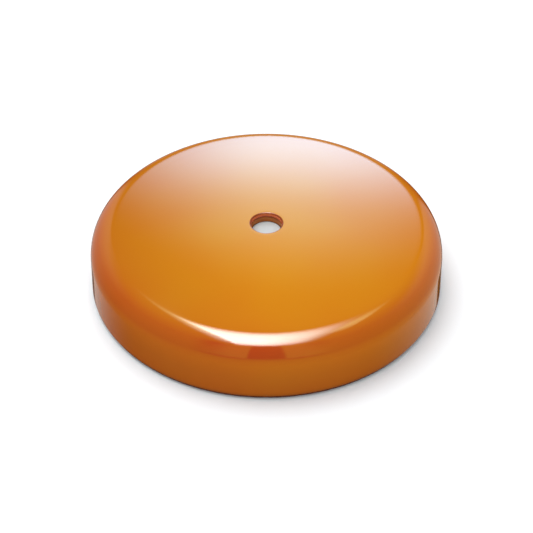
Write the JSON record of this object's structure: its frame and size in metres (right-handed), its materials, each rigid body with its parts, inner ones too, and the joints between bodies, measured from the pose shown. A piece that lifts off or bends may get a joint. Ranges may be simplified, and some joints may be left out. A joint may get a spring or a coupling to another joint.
{
  "type": "darkroom safelight",
  "caption": "Low round safelight: domed amber glass cover with a centre finger hole, over a steel pan with small lamps, a push switch and its button.",
  "frame": {"origin": "on the cover's axis, level with the lower faces of the three feet", "axes": "+Z along the cover's axis, away from the surface that the light is fixed to; the front is -Y and the lamps' tips point to it"},
  "size_m": [0.22, 0.22, 0.0467],
  "materials": {
    "amber_glass": "glossy amber casing over white opal, fire-polished edges",
    "enamel": "white stove enamel, satin",
    "felt": "pressed wool felt",
    "black_rubber": "moulded, matt",
    "spring_steel": "bright spring steel",
    "silicone": "milky silicone",
    "brown_silicone": "red-brown silicone",
    "zinc_plate": "bright zinc plate",
    "nickel_plate": "bright nickel plate",
    "brass": "plain",
    "black_plastic": "moulded phenolic, satin",
    "grey_plastic": "moulded, fine texture",
    "nylon": "natural nylon",
    "white_moulding": "white heat-proof moulding",
    "clear_glass": "clear blown glass",
    "tungsten": "drawn wire",
    "brown_pvc": "heat-proof insulation, brown",
    "blue_pvc": "heat-proof insulation, blue"
  },
  "bodies": {
    "base": {"base_pan": "enamel", "rim_seal": "felt", "foot_1": "black_rubber", "foot_2": "black_rubber", "foot_3": "black_rubber", "cable_grommet": "black_rubber", "cover_clip_1": "spring_steel", "cover_clip_2": "spring_steel", "cover_clip_3": "spring_steel", "button_spring": "spring_steel", "clip_pad_1": "silicone", "clip_pad_2": "silicone", "clip_pad_3": "silicone", "hole_seal": "brown_silicone", "clip_rivets": "zinc_plate", "switch_bridge": "zinc_plate", "bridge_screws": "zinc_plate", "holder_bracket_left": "zinc_plate", "holder_bracket_right": "zinc_plate", "holder_screws": "zinc_plate", "bracket_screws": "zinc_plate", "collar_screws": "zinc_plate", "block_screws": "zinc_plate", "earth_screw": "zinc_plate", "neck_washer": "zinc_plate", "switch_neck": "nickel_plate", "neck_nut": "nickel_plate", "thread_shell_left": "nickel_plate", "thread_shell_right": "nickel_plate", "switch_tabs": "brass", "centre_contact_left": "brass", "centre_contact_right": "brass", "terminal_tubes": "brass", "terminal_screws": "brass", "terminal_link": "brass", "earth_washer": "brass", "switch_body": "black_plastic", "button_collar": "black_plastic", "terminal_block": "nylon", "lampholder_left": "white_moulding", "lampholder_right": "white_moulding", "live_wire": "brown_pvc", "switched_wire_left": "brown_pvc", "switched_wire_right": "brown_pvc", "neutral_wire_left": "blue_pvc", "neutral_wire_right": "blue_pvc"},
    "cover": {"glass_cover": "amber_glass"},
    "button": {"button_cap": "grey_plastic", "button_plunger": "nylon"},
    "lamp_left": {"lamp_glass_left": "clear_glass", "lamp_cap_left": "nickel_plate", "lamp_base_left": "black_plastic", "lamp_stem_left": "clear_glass", "lamp_filament_left": "tungsten"},
    "lamp_right": {"lamp_glass_right": "clear_glass", "lamp_cap_right": "nickel_plate", "lamp_base_right": "black_plastic", "lamp_stem_right": "clear_glass", "lamp_filament_right": "tungsten"}
  },
  "joints": [
    {"name": "cover_lift", "type": "slide", "parent": "base", "child": "cover", "axis": [0, 0, 1], "range_m": [0, 0.07]},
    {"name": "button_press", "type": "slide", "parent": "base", "child": "button", "axis": [0, 0, -1], "range_m": [0, 0.003], "stiffness_N_per_m": 400, "springref_m": -0.002, "deforming": ["button_spring"]},
    {"name": "lamp_left_out", "type": "slide", "parent": "base", "child": "lamp_left", "axis": [0, -1, 0], "range_m": [0, 0.024]},
    {"name": "lamp_right_out", "type": "slide", "parent": "base", "child": "lamp_right", "axis": [0, -1, 0], "range_m": [0, 0.024]}
  ]
}
